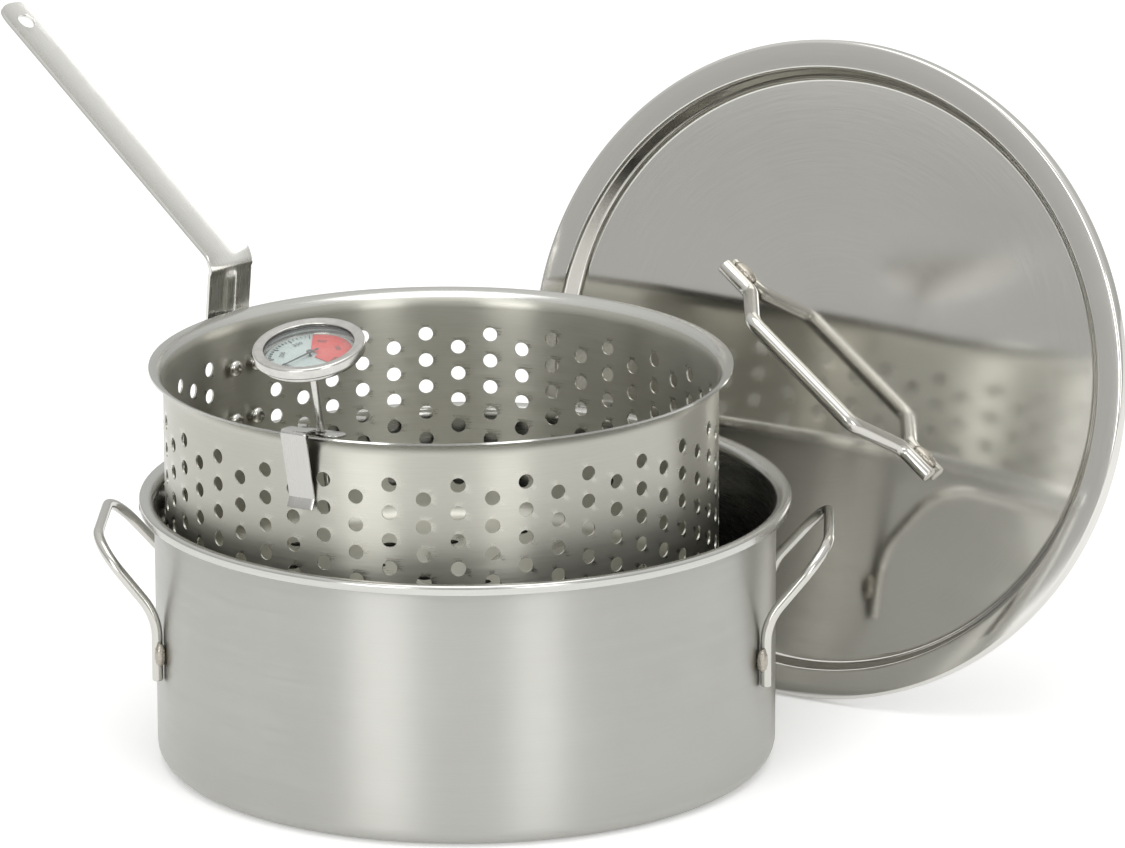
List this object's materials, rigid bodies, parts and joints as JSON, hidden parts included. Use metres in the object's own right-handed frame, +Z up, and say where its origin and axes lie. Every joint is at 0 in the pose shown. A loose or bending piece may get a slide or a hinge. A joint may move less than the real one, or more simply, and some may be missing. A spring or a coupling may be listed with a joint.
{
  "type": "turkey fryer kit",
  "caption": "Shallow stainless frying pot with rod side handles, perforated basket on a long stamped handle, leaning lid and clip-on dial thermometer.",
  "frame": {"origin": "centre of the pot's flat base, on the surface it stands on", "axes": "+Z up, +X towards the pot's right side handle, -Y towards the viewer, with the lid behind on the right"},
  "size_m": [0.5686, 0.3652, 0.3301],
  "materials": {
    "brushed_sheet": "fine brushed stainless steel",
    "polished_sheet": "polished stainless steel",
    "satin_sheet": "satin stainless steel",
    "rod": "bright drawn stainless rod",
    "fastener": "bright stainless fastener",
    "polished_trim": "bright stainless trim",
    "weld_metal": "ground weld",
    "dial_face": "printed pale dial plate",
    "dial_red": "red dial zone",
    "pointer_black": "matt black pointer",
    "gasket_rubber": "black seal",
    "window_glass": "clear flat window"
  },
  "bodies": {
    "pot": {"pot_shell": "brushed_sheet", "pot_handle_left": "rod", "pot_handle_right": "rod", "pot_weld_left_a": "weld_metal", "pot_weld_left_b": "weld_metal", "pot_weld_right_a": "weld_metal", "pot_weld_right_b": "weld_metal"},
    "basket": {"basket_shell": "brushed_sheet", "basket_handle": "satin_sheet", "basket_screw_upper_a": "fastener", "basket_screw_upper_b": "fastener", "basket_screw_lower_a": "fastener", "basket_screw_lower_b": "fastener", "basket_washer_upper_a": "fastener", "basket_washer_upper_b": "fastener", "basket_washer_lower_a": "fastener", "basket_washer_lower_b": "fastener", "basket_nut_upper_a": "fastener", "basket_nut_upper_b": "fastener", "basket_nut_lower_a": "fastener", "basket_nut_lower_b": "fastener"},
    "lid": {"lid_shell": "polished_sheet", "lid_handle": "rod", "lid_weld_a": "weld_metal", "lid_weld_b": "weld_metal"},
    "clip": {"clip_strip": "satin_sheet"},
    "thermometer": {"probe_stem": "polished_trim", "probe_collar": "polished_trim", "dial_case": "polished_trim", "dial_bezel": "polished_trim", "dial_gasket": "gasket_rubber", "dial_window": "window_glass", "dial_plate": "dial_face", "dial_zone": "dial_red"},
    "pointer": {"dial_pointer": "pointer_black"}
  },
  "joints": [
    {"name": "basket_lift", "type": "slide", "parent": "pot", "child": "basket", "axis": [0, 0, 1], "range_m": [0, 0.16]},
    {"name": "lid_lift", "type": "slide", "parent": "pot", "child": "lid", "axis": [0.0817, 0.1608, 0.9836], "range_m": [0, 0.3]},
    {"name": "clip_lift", "type": "slide", "parent": "basket", "child": "clip", "axis": [-0.1025, -0.2116, 0.972], "range_m": [0, 0.05]},
    {"name": "probe_slide", "type": "slide", "parent": "clip", "child": "thermometer", "axis": [-0.1025, -0.2116, 0.972], "range_m": [-0.024, 0.07]},
    {"name": "pointer_turn", "type": "hinge", "parent": "thermometer", "child": "pointer", "pos_m": [-0.06759, -0.11854, 0.2398], "axis": [-0.1025, -0.2116, 0.972], "range_deg": [-264, 6], "stiffness_Nm_per_rad": 0.0001}
  ]
}
